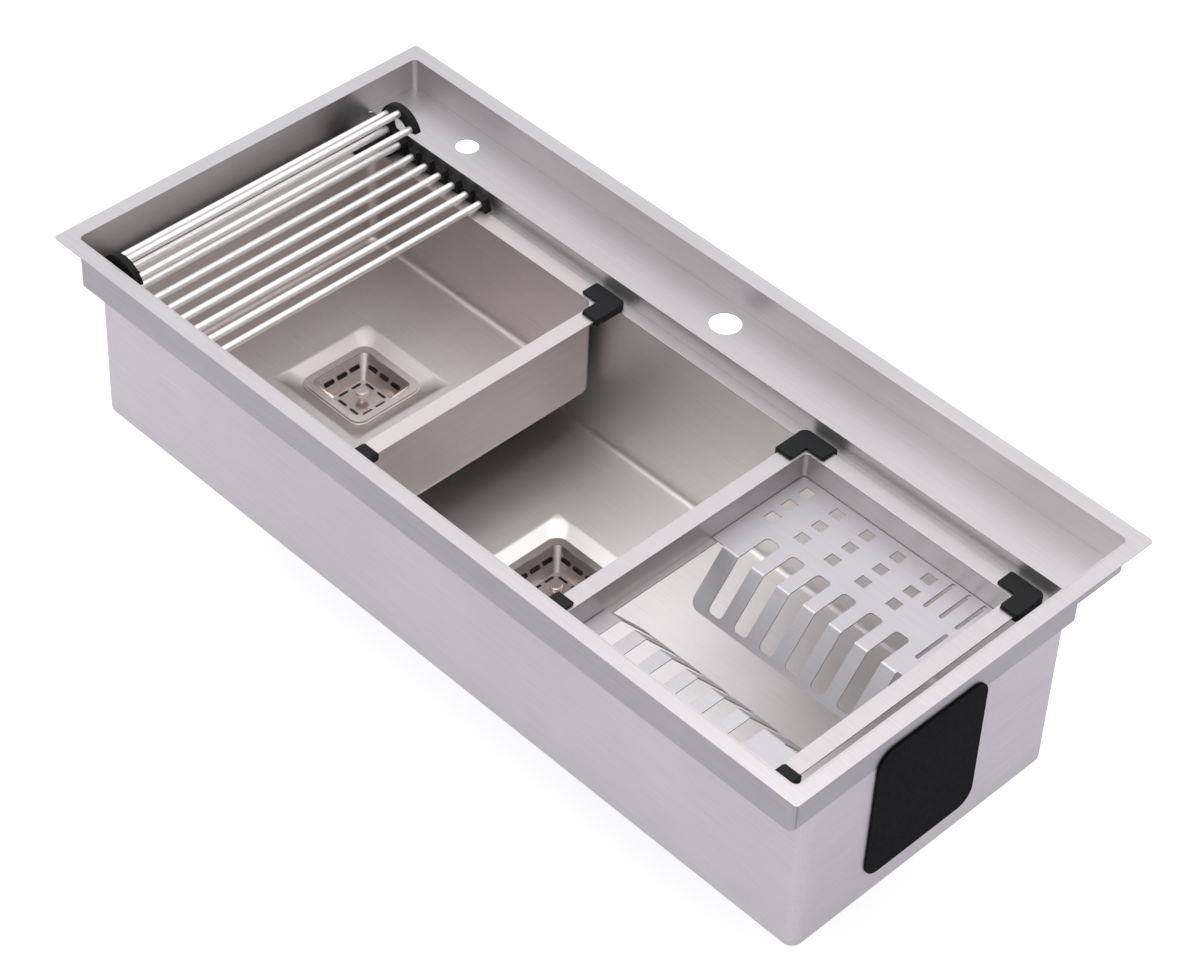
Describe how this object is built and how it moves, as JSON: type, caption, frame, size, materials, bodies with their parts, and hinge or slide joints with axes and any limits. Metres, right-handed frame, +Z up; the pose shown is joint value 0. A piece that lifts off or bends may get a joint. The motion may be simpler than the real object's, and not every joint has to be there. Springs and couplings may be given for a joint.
{
  "type": "kitchen sink",
  "caption": "Long single-bowl stainless workstation sink with tap deck and ledges, a sliding hanging basin with a roll-up rod mat, a sliding folded dish rack and square strainer drains",
  "frame": {"origin": "centre of the rim, on the plane of the worktop that the rim's underside rests on", "axes": "+X to the right along the rim, +Y to the tap deck at the back, +Z up"},
  "size_m": [1.05, 0.5, 0.3973],
  "materials": {
    "stainless_sheet": "satin brushed stainless sheet",
    "basin_steel": "satin brushed stainless sheet",
    "rack_steel": "satin stainless",
    "plate_steel": "fine satin stainless sheet",
    "bright_steel": "polished stainless",
    "rod_steel": "satin stainless tube",
    "silicone": "matt silicone",
    "cap_plastic": "moulded nylon",
    "pad_rubber": "matt rubber",
    "fitting_plastic": "moulded polypropylene"
  },
  "bodies": {
    "sink": {"rim_flange": "stainless_sheet", "tray_walls": "stainless_sheet", "tap_deck": "stainless_sheet", "ledges": "stainless_sheet", "bowl_walls": "stainless_sheet", "bowl_floor": "stainless_sheet", "right_end_pad": "pad_rubber", "left_end_pad": "pad_rubber", "floor_pads": "pad_rubber", "drain_cup": "bright_steel", "drain_gasket": "pad_rubber", "drain_clamp": "fitting_plastic", "lock_nut": "fitting_plastic", "tail_nut": "fitting_plastic", "tailpiece": "bright_steel"},
    "drain_basket": {"drain_basket": "bright_steel", "drain_basket_knob": "bright_steel"},
    "basin": {"basin_flange": "basin_steel", "basin_walls": "basin_steel", "basin_floor": "basin_steel", "basin_caps": "cap_plastic", "basin_drain_ring": "bright_steel"},
    "basin_strainer": {"basin_strainer": "bright_steel", "basin_strainer_knob": "bright_steel"},
    "mat_roll": {"mat_roll_rods": "rod_steel", "mat_roll_strips": "silicone"},
    "rack": {"rack_flange": "rack_steel", "rack_frame": "rack_steel", "rack_back_plate": "plate_steel", "rack_front_plate": "plate_steel", "rack_caps": "cap_plastic"},
    "mat_1": {"mat_rod_1": "rod_steel", "mat_link_1": "silicone"},
    "mat_2": {"mat_rod_2": "rod_steel", "mat_link_2": "silicone"},
    "mat_3": {"mat_rod_3": "rod_steel", "mat_link_3": "silicone"},
    "mat_4": {"mat_rod_4": "rod_steel", "mat_link_4": "silicone"},
    "mat_5": {"mat_rod_5": "rod_steel", "mat_link_5": "silicone"},
    "mat_6": {"mat_rod_6": "rod_steel", "mat_link_6": "silicone"}
  },
  "joints": [
    {"name": "drain_basket_lift", "type": "slide", "parent": "sink", "child": "drain_basket", "axis": [0, 0, 1], "range_m": [0, 0.05]},
    {"name": "basin_slide", "type": "slide", "parent": "sink", "child": "basin", "axis": [1, 0, 0], "range_m": [-0.01, 0.12]},
    {"name": "basin_strainer_lift", "type": "slide", "parent": "basin", "child": "basin_strainer", "axis": [0, 0, 1], "range_m": [0, 0.05]},
    {"name": "mat_lift", "type": "slide", "parent": "basin", "child": "mat_roll", "axis": [0, 0, 1], "range_m": [0, 0.06]},
    {"name": "rack_slide", "type": "slide", "parent": "sink", "child": "rack", "axis": [1, 0, 0], "range_m": [-0.12, 0.03]},
    {"name": "mat_fold_1", "type": "hinge", "parent": "mat_roll", "child": "mat_1", "pos_m": [-0.43625, -0.0325, -0.0538], "axis": [0, -1, 0], "range_deg": [0, 24]},
    {"name": "mat_fold_2", "type": "hinge", "parent": "mat_1", "child": "mat_2", "pos_m": [-0.41475, -0.0325, -0.0538], "axis": [0, -1, 0], "range_deg": [0, 24]},
    {"name": "mat_fold_3", "type": "hinge", "parent": "mat_2", "child": "mat_3", "pos_m": [-0.39325, -0.0325, -0.0538], "axis": [0, -1, 0], "range_deg": [0, 24]},
    {"name": "mat_fold_4", "type": "hinge", "parent": "mat_3", "child": "mat_4", "pos_m": [-0.37175, -0.0325, -0.0538], "axis": [0, -1, 0], "range_deg": [0, 24]},
    {"name": "mat_fold_5", "type": "hinge", "parent": "mat_4", "child": "mat_5", "pos_m": [-0.35025, -0.0325, -0.0538], "axis": [0, -1, 0], "range_deg": [0, 24]},
    {"name": "mat_fold_6", "type": "hinge", "parent": "mat_5", "child": "mat_6", "pos_m": [-0.32875, -0.0325, -0.0538], "axis": [0, -1, 0], "range_deg": [0, 24]}
  ]
}
